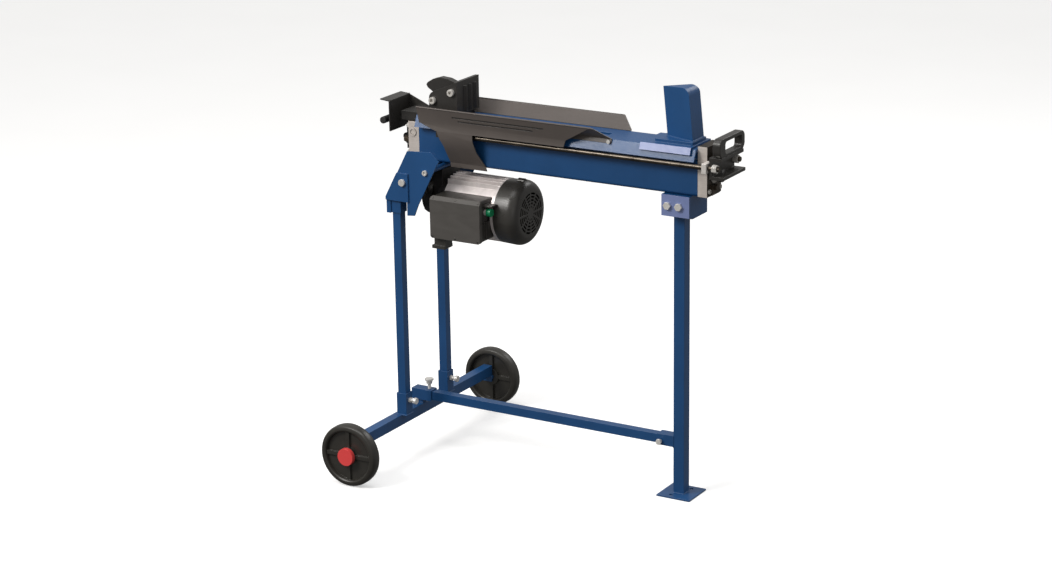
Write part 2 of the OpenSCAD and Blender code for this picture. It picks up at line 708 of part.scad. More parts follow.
// Shell of the fan cover, turned about the shaft; z runs from the open rim to the grille
module fan_cover() color(black) {
    r = fan_cover_d / 2;
    len_c = cover_x1 - housing_x1;
    soft = 24;
    t = 3;
    outer = [for (a = [0:10:90]) [r - soft + soft * cos(a), len_c - soft + soft * sin(a)]];
    inner = [for (a = [90:-10:0]) [r - soft + (soft - t) * cos(a), len_c - soft + (soft - t) * sin(a)]];
    difference() {
        translate([housing_x1, 0, motor_z]) rotate([0, 90, 0]) {
            rotate_extrude() polygon(concat([[r - 1.5, 0]], outer, [[0, len_c], [0, len_c - t]], inner,
                [[r - t - 1, 0]]));
            // Cable bulge on top
            rotate(180) translate([r - 3, 0, 28]) cylinder(d = 16, h = 18);
        }
        // Grille: ring slots broken by spokes
        difference() {
            for (k = [0:4]) difference() {
                rod_x(cover_x1 - 6, cover_x1 + 1, 0, motor_z, 100 - 16 * k);
                rod_x(cover_x1 - 7, cover_x1 + 2, 0, motor_z, 91 - 16 * k);
            }
            for (a = [0:30:150]) translate([0, 0, motor_z]) rotate([a, 0, 0])
                block([cover_x1 - 8, -2.5, -60], [cover_x1 + 2, 2.5, 60]);
        }
    }
}

// Pitch circle gear with straight-sided teeth and side clearance, in the YZ plane
module gear_section(teeth, m) {
    r = teeth * m / 2;
    root = r - 1.15 * m;
    tip = r + 0.85 * m;
    w = 360 / teeth;
    circle(root + 0.2);
    for (i = [0:teeth - 1]) rotate(i * w) polygon([
        [(root - 1) * cos(w * 0.34), -(root - 1) * sin(w * 0.34)], [r * cos(w * 0.22), -r * sin(w * 0.22)],
        [tip * cos(w * 0.10), -tip * sin(w * 0.10)], [tip * cos(w * 0.10), tip * sin(w * 0.10)],
        [r * cos(w * 0.22), r * sin(w * 0.22)], [(root - 1) * cos(w * 0.34), (root - 1) * sin(w * 0.34)]]);
}

gear_tip = (gear_teeth / 2 + 0.85) * gear_m;

module drive_gear() color(steel) difference() {
    translate([0, 0, motor_z]) along_x(pocket_x0 + 0.5, pocket_x1 - 0.5)
        gear_section(gear_teeth, gear_m);
    rod_x(pocket_x0 - 1, pocket_x1 + 1, 0, motor_z, 15.04);
}

module idler_gear() color(steel) {
    translate([0, 0, motor_z + gear_c]) rotate([180 / gear_teeth, 0, 0])
        along_x(pocket_x0 + 0.5, pocket_x1 - 0.5) gear_section(gear_teeth, gear_m);
    rod_x(pocket_x0 - 8, pocket_x1 + 8, 0, motor_z + gear_c, 14);
}

pump_mid = motor_z + gear_c / 2;

module pump_body() color(black) difference() {
    union() {
        block([pocket_x0, -40, motor_z - 34], [-625, 40, 727.5]);
        block([pocket_x0, -30, 700], [-637, 30, beam_z - side_t]);
        rod_x(-632, housing_x0, 0, motor_z, 128);
    }
    rod_x(pocket_x0 - 1, pocket_x1, 0, motor_z, 2 * gear_tip + 1);
    rod_x(pocket_x0 - 1, pocket_x1, 0, motor_z + gear_c, 2 * gear_tip + 1);
    rod_x(pocket_x1 - 1, housing_x0 + 1, 0, motor_z, shaft_d + 4);
    rod_x(-626.2, housing_x0 + 1, 0, motor_z, 52.1);
    rod_x(pocket_x1 - 1, pocket_x1 + 9, 0, motor_z + gear_c, 14 + 2 * run);
}

module pump_cover() color(black) difference() {
    union() {
        rod_x(pump_x0, pocket_x0, 0, pump_mid, 100);
        rod_x(pump_x0 - 8, pump_x0 + 1, 0, pump_mid, 40);
        for (y = [-27, 27], z = [-33, 33]) rod_x(pump_x0 - 5, pump_x0 + 1, y, pump_mid + z, 12, 6);
    }
    rod_x(pocket_x0 - 9, pocket_x0 + 1, 0, motor_z + gear_c, 14 + 2 * run);
}

// ---------------------------------------------------------------- switch and inlet

box_x0 = -612;
box_x1 = -476;
box_z0 = 581;
box_z1 = 681;
box_back = -54;
box_split = -107;
lid_front = -119;
button_y = -89;
button_z = 653;
inlet_at = [-596, -89];

module box_section(grow) translate([(box_x0 + box_x1) / 2, (box_z0 + box_z1) / 2])
    round_rect(box_x1 - box_x0 + grow, box_z1 - box_z0 + grow, 5 + grow / 2);

module switch_box() color(black) difference() {
    union() {
        along_y(box_split, box_back) box_section(0);
        // Hood over the start button, and the raised cover below it
        block([box_x1 - 1, -99, 667], [-453, -72, 671]);
        block([box_x1 - 1, -95, 588], [box_x1 + 5, -78, 630]);
    }
    rod_x(box_x0 - 1, housing_x1 + 30, 0, motor_z, housing_d);
    along_y(box_split - 1, -73) box_section(-6);
    rod_x(box_x1 - 4, box_x1 + 1, button_y, button_z, 16.4);
    rod_z(box_z0 - 1, box_z0 + 4, inlet_at[0], inlet_at[1], 26);
}

module switch_box_lid() color([0.30, 0.29, 0.28]) {
    difference() {
        intersection() {
            along_y(lid_front, box_split) box_section(3);
            along_x(box_x0 - 3, box_x1 + 3) polygon([[lid_front, box_z0 - 3], [lid_front, 674.5],
                [lid_front + 9, box_z1 + 2], [box_split, box_z1 + 2], [box_split, box_z0 - 3]]);
        }
        along_y(lid_front + 4, box_split + 1) translate([(box_x0 + box_x1) / 2, 628]) round_rect(128, 86, 3);
    }
    // Screw heads on the bevel and along the lower edge
    for (x = [box_x0 + 5, -544, box_x1 - 5]) {
        translate([x, lid_front + 4.5, 678.5]) rotate([45, 0, 0]) cylinder(d = 6, h = 1.4);
        rod_y(lid_front - 1, lid_front + 0.5, x, box_z0 + 4, 5);
    }
}

module button_collar() color(steel) difference() {
    rod_x(box_x1 - 8, box_x1 + 5.5, button_y, button_z, 16);
    rod_x(box_x1 - 9, box_x1 + 8, button_y, button_z, 10.2);
}

module start_button() color([0.1, 0.55, 0.36]) {
    // Cap that slides over the collar
    difference() {
        rod_x(box_x1 + 6, box_x1 + 18, button_y, button_z, 20);
        rod_x(box_x1 + 5, box_x1 + 11, button_y, button_z, 17);
    }
    rod_x(box_x1 - 14, box_x1 + 12, button_y, button_z, 10);
}

module power_inlet() color(rubber) {
    x = inlet_at[0];
    y = inlet_at[1];
    rod_z(box_z0 - 4, box_z0 + 3.9, x, y, 25.8);
    block([x - 16, y - 15, 558], [x + 16, y + 15, box_z0 - 1.5]);
    block([x - 21, y - 18, 550], [x + 15, y + 18, 558.5]);
}

// ---------------------------------------------------------------- control valve and lever

arm_y = [44, 52];

module valve_block() color(black) difference() {
    y0 = valve_y - 22;
    y1 = valve_y + 22;
    union() {
        block([valve_x0, y0, 760], [rear_plate_x0, y1, rear_plate_top + 1]);
        block([valve_x0, -30, rear_plate_top], [rear_plate_x1 - 1, 38, 858]);
        // Ears that carry the lever's cross shaft
        for (s = [-1, 1]) along_y(valve_y + s * 9 - 2.5, valve_y + s * 9 + 2.5) {
            translate([pivot_x, pivot_z]) circle(9);
            translate([pivot_x, pivot_z - 9]) square([12, 18]);
        }
    }
    rod_x(valve_x0 - 1, rear_plate_x0 + 1, valve_y, spool_z, 12 + 2 * run);
    rod_y(y0 - 1, y1 + 1, pivot_x, pivot_z, 8 + 2 * run);
    for (z = tie_z) rod_x(valve_x0 - 1, rear_plate_x0 + 1, tie_y, z, 20);
}

module valve_spool() color(steel) difference() {
    rod_x(pivot_x + 3, rear_plate_x0 + 10, valve_y, spool_z, 12);
    difference() {
        rod_x(-738, -731, valve_y, spool_z, 13);
        rod_x(-739, -730, valve_y, spool_z, 8);
    }
}

module control_lever() color(black) {
    // Outer arm, cross shaft through the ears, and the toe that pushes the spool
    along_y(arm_y[0], arm_y[1]) {
        translate([grip_x - 6, grip_z - 6]) square([pivot_x + 12 - grip_x, 12]);
        translate([pivot_x - 6, pivot_z]) square([12, grip_z - pivot_z + 6]);
        translate([pivot_x, pivot_z]) circle(9);
    }
    rod_y(0, arm_y[1], pivot_x, pivot_z, 8);
    along_y(valve_y - 6, valve_y + 6) {
        translate([pivot_x, pivot_z]) circle(6.5);
        translate([pivot_x - 1.2, spool_z]) circle(4);
        translate([pivot_x - 5.2, spool_z]) square([8, 12]);
    }
    rod_y(-44, arm_y[1], grip_x, grip_z, 10);
}

module lever_grip() color(rubber) difference() {
    rod_y(-49, -4, grip_x, grip_z, 17);
    rod_y(-44.1, -3, grip_x, grip_z, 10.02);
}

module lever_guard() color(black) {
    x0 = -768;
    near = -50;
    far = 38;
    // Shield plate across the machine, with its far lower corner cut back
    along_x(x0, x0 + 3) polygon([[near, 808], [near, 882], [far + 3, 885], [far + 3, 819], [32, 817],
        [24, 811], [14, 808]]);
    // Top flange leaning away from the log
    along_y(near, far + 3) sheet([[x0 - 24, 886.5], [x0 + 3, 884]], 3);
    // Side plate that runs back to the valve block
    along_y(far, far + 3) polygon([[x0, 818], [x0, 884], [-711, 860], [-704, 856], [-704, 840], [-745, 814]]);
}

// ---------------------------------------------------------------- parts

front_leg();
front_bracket();
front_bracket_bolts();
base_rail();
rail_screws();
axle_beam();
near_rear_leg();
far_rear_leg();
leg_clamp_screws();
rear_bracket();
bracket_tie_tubes();
bracket_tie_bolts();
beam();
bed();
rear_end_plate();
front_end_plate();
tie_rods();
tie_rod_nuts();
cylinder_tube();
rod_gland();
rod_seal();
pressure_pipe();
piston();
piston_seal();
piston_rod();
crosshead();
carry_handle();
pull_rods();
rod_nuts();
rod_guides();
slider();
pusher_slide();
pusher_plate();
pusher_bolts();
wedge();
near_trough();
far_trough();
trough_screws();
motor_housing();
stator();
rotor_shaft();
motor_bearings();
cooling_fan();
fan_cover();
pump_body();
pump_cover();
drive_gear();
idler_gear();
switch_box();
switch_box_lid();
start_button();
button_collar();
power_inlet();
valve_block();
valve_spool();
control_lever();
lever_grip();
lever_guard();
near_wheel();
far_wheel();
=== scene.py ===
"""Looks of the log splitter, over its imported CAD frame.

Each visible CAD node gets a refined shell with rounded edges, and nodes that can't be seen keep their CAD
shape. Weld beads and screw threads are extra fine pieces. All materials are procedural.
Sizes and places in this file are in millimetres, unless a comment says otherwise.
"""
import json
import math

import bmesh
import bpy
from mathutils import Matrix, Vector


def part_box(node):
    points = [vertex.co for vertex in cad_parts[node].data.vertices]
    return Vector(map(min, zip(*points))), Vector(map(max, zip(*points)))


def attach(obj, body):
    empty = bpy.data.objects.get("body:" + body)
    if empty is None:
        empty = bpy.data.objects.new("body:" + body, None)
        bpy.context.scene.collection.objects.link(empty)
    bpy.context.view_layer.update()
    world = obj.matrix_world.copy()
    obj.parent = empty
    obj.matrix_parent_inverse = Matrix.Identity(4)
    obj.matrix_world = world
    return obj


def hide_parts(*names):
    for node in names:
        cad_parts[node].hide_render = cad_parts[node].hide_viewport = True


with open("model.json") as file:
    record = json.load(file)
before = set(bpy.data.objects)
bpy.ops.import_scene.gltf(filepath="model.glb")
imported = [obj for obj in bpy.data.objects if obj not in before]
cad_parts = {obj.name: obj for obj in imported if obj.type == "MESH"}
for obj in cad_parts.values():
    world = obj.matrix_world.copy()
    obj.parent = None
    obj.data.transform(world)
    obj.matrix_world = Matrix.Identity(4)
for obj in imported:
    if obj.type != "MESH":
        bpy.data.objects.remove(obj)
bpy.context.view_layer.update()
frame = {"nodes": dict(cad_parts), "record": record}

MM = 0.001
SIDES = ((-1, "near"), (1, "far"))
SLOT_OF = {row["node"]: row["material_slot"] for row in frame["record"]["subparts"]}
BODY_OF = {node: body for body, nodes in frame["record"]["behaviour"]["bodies"].items() for node in nodes}
scene = bpy.context.scene


# ---------------------------------------------------------------- node graphs


class Graph:
    """A material's node tree, with a short method for each kind of node the materials use."""

    def __init__(self, name):
        self.material = bpy.data.materials.new(name)
        self.material.use_nodes = True
        self.tree = self.material.node_tree
        self.shader = self.tree.nodes["Principled BSDF"]
        self.place = self.add("ShaderNodeTexCoord").outputs["Object"]

    def add(self, kind, values=None, **settings):
        """Adds a node; values go to its inputs and settings to its own attributes."""
        node = self.tree.nodes.new(kind)
        for key, value in settings.items():
            setattr(node, key, value)
        for key, value in (values or {}).items():
            self.put(node.inputs[key], value)
        return node

    def put(self, socket, value):
        """Links another node's output to the socket, or sets the socket to a plain value."""
        if isinstance(value, bpy.types.NodeSocket):
            self.tree.links.new(value, socket)
        else:
            socket.default_value = value

    def set(self, **values):
        """Sets inputs of the shader, with underscores for the spaces in their names."""
        for key, value in values.items():
            self.put(self.shader.inputs[key.replace("_", " ")], value)

    def stretch(self, scale):
        """Object coordinates, scaled along each axis."""
        return self.add("ShaderNodeMapping", {"Vector": self.place, "Scale": scale}).outputs["Vector"]

    def noise(self, per_m, detail=3.0, rough=0.55, place=None, distort=0.0):
        """Smooth noise with about per_m features a metre, from 0 to 1."""
        values = {"Vector": place or self.place, "Scale": per_m, "Detail": detail, "Roughness": rough,
                  "Distortion": distort}
        return self.add("ShaderNodeTexNoise", values).outputs["Fac"]

    def cells(self, per_m):
        """Distance to the middle of the nearest of about per_m cells a metre."""
        return self.add("ShaderNodeTexVoronoi", {"Vector": self.place, "Scale": per_m}).outputs["Distance"]

    def ramp(self, factor, low, high, low_value=0.0, high_value=1.0):
        """Maps factor from low..high to low_value..high_value, clamped."""
        values = {"Value": factor, "From Min": low, "From Max": high, "To Min": low_value, "To Max": high_value}
        return self.add("ShaderNodeMapRange", values).outputs["Result"]

    def mix(self, factor, a, b):
        """Colour a where factor is 0 and colour b where it is 1."""
        node = self.add("ShaderNodeMix", data_type="RGBA")
        self.put(node.inputs["Factor"], factor)
        self.put(node.inputs["A"], a)
        self.put(node.inputs["B"], b)
        return node.outputs["Result"]

    def math(self, operation, a, b):
        return self.add("ShaderNodeMath", {0: a, 1: b}, operation=operation).outputs["Value"]

    def bump(self, height, depth_mm, strength=1.0, below=None):
        """A normal bumped by height, on top of the bumped normal below."""
        values = {"Height": height, "Distance": depth_mm * MM, "Strength": strength}
        if below is not None:
            values["Normal"] = below
        return self.add("ShaderNodeBump", values).outputs["Normal"]

    def edges(self, radius_mm):
        """1 on edges and 0 on flats: how far a rounded normal turns from the true one."""
        rounded = self.add("ShaderNodeBevel", {"Radius": radius_mm * MM}, samples=4).outputs["Normal"]
        true = self.add("ShaderNodeNewGeometry").outputs["Normal"]
        dot = self.add("ShaderNodeVectorMath", {0: rounded, 1: true}, operation="DOT_PRODUCT").outputs["Value"]
        on_flat, on_edge = 0.995, 0.80
        return self.ramp(dot, on_flat, on_edge)


def linear(red, green, blue):
    """Screen colour (sRGB, 0 to 255) as a linear RGBA colour."""
    def channel(v):
        v = v / 255
        return v / 12.92 if v <= 0.04045 else ((v + 0.055) / 1.055) ** 2.4
    return (channel(red), channel(green), channel(blue), 1.0)


def shade(colour, factor, lift=0.0):
    """A linear colour made darker or lighter by factor, then lifted; no channel goes above 1."""
    return tuple(min(1.0, c * factor + lift) for c in colour[:3]) + (1.0,)


# ---------------------------------------------------------------- materials


def powder_coat(name, base, worn, roughness, peel_mm=0.05, peel_per_m=700):
    """Baked powder paint: orange peel, slight cloudiness, rubbed edges and a few fine scuffs."""
    g = Graph(name)
    cloud = g.noise(9, 4)
    fine = g.noise(160, 3)
    body = g.mix(g.ramp(cloud, 0.35, 0.68), shade(base, 0.86), base)
    rubbed = g.math("MULTIPLY", g.edges(0.9), g.ramp(g.noise(70, 5, 0.7), 0.44, 0.66))
    scuff = g.ramp(g.noise(30, 6, 0.75, g.stretch((1.0, 9.0, 9.0)), 1.5), 0.67, 0.74, 0.0, 0.35)
    marks = g.math("MAXIMUM", g.math("MULTIPLY", rubbed, 0.55), scuff)
    g.set(Base_Color=g.mix(marks, body, worn), Metallic=0.0, IOR=1.5,
          Roughness=g.ramp(fine, 0.3, 0.7, roughness - 0.05, roughness + 0.07))
    peel = g.bump(g.noise(peel_per_m, 2, 0.5), peel_mm)
    g.set(Normal=g.bump(g.noise(45, 2), 0.12, 0.5, peel), Coat_Weight=0.12, Coat_Roughness=0.2,
          Specular_IOR_Level=0.4)
    return g.material


def drawn_metal(name, bright, dull, roughness, grain_scale, grain_mm=0.02, metallic=1.0):
    """Machined or drawn metal: grain that is long where grain_scale is small, stains and a broken sheen."""
    g = Graph(name)
    grain = g.noise(1, 5, 0.6, g.stretch(grain_scale))
    stain = g.noise(38, 5, 0.6)
    tone = g.math("ADD", g.math("MULTIPLY", grain, 0.6), g.math("MULTIPLY", stain, 0.5))
    g.set(Base_Color=g.mix(g.ramp(tone, 0.36, 0.74), dull, bright), Metallic=metallic,
          Roughness=g.ramp(grain, 0.25, 0.75, roughness - 0.08, roughness + 0.12),
          Normal=g.bump(grain, grain_mm))
    return g.material


def cast_metal(name, base, dark, roughness, metallic, sand_mm=0.25, sand_per_m=420):
    """Sand casting, die casting or plating: grainy skin with darker hollows and polished edges."""
    g = Graph(name)
    skin = g.noise(sand_per_m, 4, 0.6)
    blotch = g.noise(26, 4)
    tone = g.mix(g.ramp(blotch, 0.35, 0.7), dark, base)
    polished = shade(base, 1.5, 0.01)
    g.set(Base_Color=g.mix(g.math("MULTIPLY", g.edges(0.8), 0.45), tone, polished), Metallic=metallic,
          Roughness=g.ramp(skin, 0.3, 0.7, roughness - 0.06, roughness + 0.1),
          Normal=g.bump(skin, sand_mm, 0.6))
    return g.material


def plastic(name, base, roughness, grain_mm, grain_per_m=900, speck=0.12):
    """Moulded plastic: spark-eroded grain, faint flow marks and lighter handled edges."""
    g = Graph(name)
    grain = g.cells(grain_per_m)
    flow = g.noise(14, 3, 0.5, g.stretch((1.0, 1.0, 2.5)), 1.0)
    tone = g.mix(g.ramp(flow, 0.35, 0.7), base, shade(base, 1 + speck, speck * 0.02))
    handled = shade(base, 1.6, 0.012)
    g.set(Base_Color=g.mix(g.math("MULTIPLY", g.edges(0.6), 0.4), tone, handled),
          Roughness=g.ramp(flow, 0.3, 0.7, roughness - 0.04, roughness + 0.06),
          Normal=g.bump(grain, grain_mm, 0.7))
    return g.material


def laminated_steel(name):
    """Stator core: thin stacked sheets seen edge on, lacquered brown."""
    g = Graph(name)
    wave = g.add("ShaderNodeTexWave", {"Vector": g.place, "Scale": 320.0, "Distortion": 0.4},
                 bands_direction="X").outputs["Fac"]
    g.set(Base_Color=g.mix(wave, linear(84, 58, 38), linear(140, 104, 76)), Metallic=0.7, Roughness=0.5,
          Normal=g.bump(wave, 0.2))
    return g.material


# Grain of drawn metal, as noise per metre along x, y and z: it is long where the value is small.
ALONG_X = (90, 900, 900)
FINE_ALONG_X = (30, 1400, 1400)
ALONG_Y = (500, 80, 500)
ACROSS_Z = (60, 60, 1500)

# Each material's maker and values. The CAD's material slots use the same names.
LOOKS = {
    "blue_paint": (powder_coat, linear(27, 76, 127), linear(112, 138, 182), 0.36),
    # pale_blue_paint is a lighter copy of the blue paint: painted sheen for faces that catch the light, not a
    # second paint colour.
    "pale_blue_paint": (powder_coat, linear(126, 140, 187), linear(178, 188, 216), 0.33),
    "black_paint": (powder_coat, linear(50, 48, 46), linear(108, 105, 101), 0.34, 0.07, 900),
    "grey_paint": (powder_coat, linear(92, 85, 81), linear(140, 132, 126), 0.42, 0.06, 800),
    "plate_steel": (cast_metal, linear(78, 66, 52), linear(42, 36, 30), 0.45, 0.5, 0.2),
    "milled_steel": (drawn_metal, linear(222, 213, 206), linear(184, 175, 168), 0.42, ACROSS_Z, 0.02, 0.2),
    "plain_steel": (drawn_metal, linear(188, 184, 178), linear(120, 116, 110), 0.34, ALONG_X),
    "chrome": (drawn_metal, linear(220, 220, 220), linear(180, 180, 180), 0.14, FINE_ALONG_X, 0.005),
    "oiled_steel": (drawn_metal, linear(112, 104, 94), linear(46, 42, 38), 0.3, FINE_ALONG_X, 0.008),
    "zinc": (cast_metal, linear(238, 236, 232), linear(204, 200, 194), 0.3, 0.35, 0.05, 700),
    "guide_alloy": (drawn_metal, linear(236, 232, 228), linear(200, 194, 188), 0.35, ALONG_Y, 0.02, 0.2),
    "silver_casting": (cast_metal, linear(236, 228, 226), linear(206, 198, 196), 0.34, 0.25, 0.1, 500),
    "dark_iron": (cast_metal, linear(52, 50, 48), linear(30, 29, 28), 0.48, 0.35),
    "stator_core": (laminated_steel,),
    "black_plastic": (plastic, linear(52, 50, 47), 0.3, 0.1),
    "grey_plastic": (plastic, linear(74, 71, 68), 0.45, 0.14),
    "green_plastic": (plastic, linear(24, 142, 92), 0.24, 0.03, 600, 0.05),
    "red_plastic": (plastic, linear(228, 72, 72), 0.36, 0.04, 600, 0.05),
    "wheel_plastic": (plastic, linear(47, 45, 41), 0.32, 0.1, 700),
    "seal_rubber": (plastic, linear(34, 33, 32), 0.55, 0.15, 800),
}
MATERIALS = {name: make(name, *values) for name, (make, *values) in LOOKS.items()}


def paint(piece, *names):
    piece.data.materials.clear()
    for name in names:
        piece.data.materials.append(MATERIALS[name])


def add_piece(name, mesh, body):
    piece = bpy.data.objects.new(name, mesh)
    scene.collection.objects.link(piece)
    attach(piece, body)
    return piece


# ---------------------------------------------------------------- shells over the CAD nodes

ROUNDED_FROM_DEG = 28
ROUNDED_EDGE_STEPS = 2

INSIDE = (
    "tie_rods", "cylinder_tube", "rod_gland", "rod_seal", "pressure_pipe", "piston", "piston_seal",
    "piston_rod", "stator", "rotor_shaft", "motor_bearings", "cooling_fan", "drive_gear", "idler_gear",
    "valve_spool", "bracket_tie_tubes",
)

# How far each node's edges are rounded
EDGE_MM = {
    "front_leg": 0.8, "front_bracket_bolts": 0.6, "base_rail": 0.6, "rail_screws": 0.5, "axle_beam": 0.8,
    "near_rear_leg": 0.5, "far_rear_leg": 0.5, "leg_clamp_screws": 0.5, "rear_bracket": 0.4,
    "bracket_tie_bolts": 0.5, "tie_rod_nuts": 0.4, "crosshead": 0.7, "carry_handle": 2.0, "pull_rods": 0.6,
    "rod_nuts": 0.6, "rod_guides": 0.7, "slider": 0.6, "pusher_slide": 0.6, "pusher_plate": 0.5,
    "pusher_bolts": 0.5, "trough_screws": 0.4, "motor_housing": 0.5, "fan_cover": 0.4, "pump_body": 0.8,
    "pump_cover": 0.8, "switch_box": 0.7, "button_collar": 0.3, "start_button": 0.9, "power_inlet": 0.6,
    "valve_block": 0.6, "control_lever": 0.8, "lever_grip": 1.2, "lever_guard": 0.5, "beam": 0.5,
}


def clean_copy(node):
    """The CAD node's shape as a new mesh, welded, with flat areas joined into single faces."""
    bm = bmesh.new()
    bm.from_mesh(frame["nodes"][node].data)
    bmesh.ops.remove_doubles(bm, verts=bm.verts, dist=0.004 * MM)
    bmesh.ops.dissolve_limit(bm, angle_limit=math.radians(0.4), verts=bm.verts, edges=bm.edges)
    points = [v.co.copy() for v in bm.verts]
    bm.verts.index_update()
    faces = [[v.index for v in f.verts] for f in bm.faces]
    bm.free()
    mesh = bpy.data.meshes.new("shell_" + node)
    mesh.from_pydata(points, [], faces)
    mesh.validate()
    mesh.shade_smooth()
    return mesh


def shell(node, edge_mm, second=None, where=None):
    """A refined copy of a node with rounded edges. where(centre, normal) tells faces in the second material."""
    slot = SLOT_OF[node]
    piece = add_piece("shell_" + node, clean_copy(node), BODY_OF[node])
    paint(piece, slot, *([second] if second else []))
    if where:
        for face in piece.data.polygons:
            face.material_index = 1 if where(face.center / MM, face.normal) else 0
    bevel = piece.modifiers.new("rounded_edges", "BEVEL")
    bevel.width = edge_mm * MM
    bevel.segments = ROUNDED_EDGE_STEPS
    bevel.limit_method = "ANGLE"
    bevel.angle_limit = math.radians(ROUNDED_FROM_DEG)
    bevel.use_clamp_overlap = False
    bevel.harden_normals = True
    bevel.miter_outer = "MITER_ARC"
    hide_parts(node)


def milled_side(centre, normal):
    """End plates: the two milled sides, but not the walls of ports and bores, which lie nearer the middle."""
    outside_y = 35
    return abs(normal.y) > 0.9 and abs(centre.y) > outside_y


def bracket_sheen_face(centre, normal):
    """Front bracket: the face towards the viewer, which gets the lighter blue as painted sheen."""
    outside_y = -45
    return normal.y < -0.9 and centre.y < outside_y


def groove_shade(centre, normal):
    """Trough sides: the walls and floors of the two pressed grooves, which lie below the skirt's outer face.
    They get black paint as painted shade in the grooves.
    """
    skirt_y, skirt_z, lean = 66, 845, 11 / 40.5
    depth = skirt_y + (centre.z - skirt_z) * lean - abs(centre.y)
    within_length, within_height = -580 < centre.x < -320, 855 < centre.z < 871
    return 0.3 < depth < 1.6 and within_length and within_height


def wedge_flange_sheen(centre, normal):
    """Wedge: the outer sides of its saddle plate, below the blade, which get the lighter blue as painted sheen.
    """
    blade_foot_z = 862
    return abs(normal.y) > 0.8 and centre.z < blade_foot_z


def lid_screw(centre, normal):
    """Switch box lid: the screw heads stand out of its front face and out of the bevel along its top."""
    front_face_y, bevel_line = -119.2, 798
    out_of_bevel = (normal.z - normal.y) > 1.35 and centre.z - centre.y > bevel_line
    return centre.y < front_face_y or out_of_bevel


def hub_cap(centre, normal):
    """Wheels: the cap, which stands out of the hub."""
    hub_face_y = 344.5
    return abs(centre.y) > hub_face_y


for node in INSIDE:
    paint(frame["nodes"][node], SLOT_OF[node])
for node, edge in EDGE_MM.items():
    shell(node, edge)
shell("rear_end_plate", 0.6, "milled_steel", milled_side)
shell("front_end_plate", 0.6, "milled_steel", milled_side)
# The front bracket's near face gets pale_blue_paint: painted sheen.
shell("front_bracket", 0.6, "pale_blue_paint", bracket_sheen_face)
shell("bed", 0.6)
# The trough grooves get black paint: painted shade in the pressed grooves.
shell("near_trough", 0.25, "black_paint", groove_shade)
shell("far_trough", 0.25, "black_paint", groove_shade)
# The wedge's saddle sides get pale_blue_paint: painted sheen.
shell("wedge", 0.7, "pale_blue_paint", wedge_flange_sheen)
shell("switch_box_lid", 0.5, "black_paint", lid_screw)
shell("near_wheel", 0.7, "red_plastic", hub_cap)
shell("far_wheel", 0.7, "red_plastic", hub_cap)


# ---------------------------------------------------------------- welds


def bead_spots(path, closed, step_mm):
    """Points about step_mm apart along the path."""
    points = [Vector(p) for p in path]
    ends = points[1:] + points[:1] if closed else points[1:]
    spots = []
    for a, b in zip(points, ends):
        steps = max(2, int((b - a).length / step_mm))
        spots += [a.lerp(b, k / steps) for k in range(steps)]
    return spots if closed else spots + [points[-1]]


def finish_mesh(name, bm):
    """The built faces as a smooth mesh with its normals outwards."""
    bmesh.ops.recalc_face_normals(bm, faces=bm.faces)
    mesh = bpy.data.meshes.new(name)
    bm.to_mesh(mesh)
    bm.free()
    mesh.shade_smooth()
    return mesh


def bead(name, path, radius_mm, closed=False, ripple_mm=2.6):
    """Weld bead: a round section swept along path, swelling at each deposit of the weld."""
    sides, steps_per_ripple, thin_end = 10, 4, 0.3
    spots = bead_spots(path, closed, ripple_mm / steps_per_ripple)
    last = len(spots) - 1
    bm = bmesh.new()
    rings = []
    for i, spot in enumerate(spots):
        after = spots[(i + 1) % len(spots)] if closed or i < last else spot
        before = spots[i - 1] if closed or i > 0 else spot
        along = (after - before).normalized()
        across = along.orthogonal().normalized()
        up = along.cross(across)
        swell = 0.86 + 0.14 * abs(math.sin(i * math.pi / steps_per_ripple))
        r = radius_mm * (thin_end if not closed and i in (0, last) else swell)
        turns = [k * math.tau / sides for k in range(sides)]
        rings.append([bm.verts.new((spot + across * (r * math.cos(t)) + up * (r * math.sin(t))) * MM)
                      for t in turns])
    for a, b in zip(rings, rings[1:] + rings[:1] if closed else rings[1:]):
        shift = min(range(sides), key=lambda s: (a[0].co - b[s].co).length)
        for k in range(sides):
            bm.faces.new((a[k], a[(k + 1) % sides], b[(k + 1 + shift) % sides], b[(k + shift) % sides]))
    if not closed:
        bm.faces.new(rings[0])
        bm.faces.new(rings[-1])
    paint(add_piece(name, finish_mesh(name, bm), "frame"), "blue_paint")


def square_path(x, y, z, half):
    return [(x - half, y - half, z), (x + half, y - half, z), (x + half, y + half, z), (x - half, y + half, z)]


def front_leg_welds():
    """Round the leg's foot, and round the rail's stub on the leg's rear face."""
    plate_top, tube_side = 4.2, 14.2
    stub_half, stub_low, stub_high = 14, 118, 146
    bead("weld_foot", square_path(0, 0, plate_top, tube_side), 1.9, closed=True)
    stub = [(-tube_side, -stub_half, stub_low), (-tube_side, stub_half, stub_low),
            (-tube_side, stub_half, stub_high), (-tube_side, -stub_half, stub_high)]
    bead("weld_rail_stub", stub, 1.6, closed=True)


def rear_leg_welds():
    """Round both sockets on the axle, and up the front and back of each leg inside the rear bracket."""
    leg_x, socket_y, socket_half, axle_top = -717, 95, 14.1, 109.3
    bracket_y, low, high = 108.4, 630, 654
    for side, place in SIDES:
        bead("weld_" + place + "_socket", square_path(leg_x, side * socket_y, axle_top, socket_half), 1.9,
             closed=True)
        for x, end in ((-703.2, "front"), (-730.8, "back")):
            upright = [(x, side * bracket_y, low), (x, side * bracket_y, high)]
            bead("weld_" + place + "_bracket_" + end, upright, 1.5)


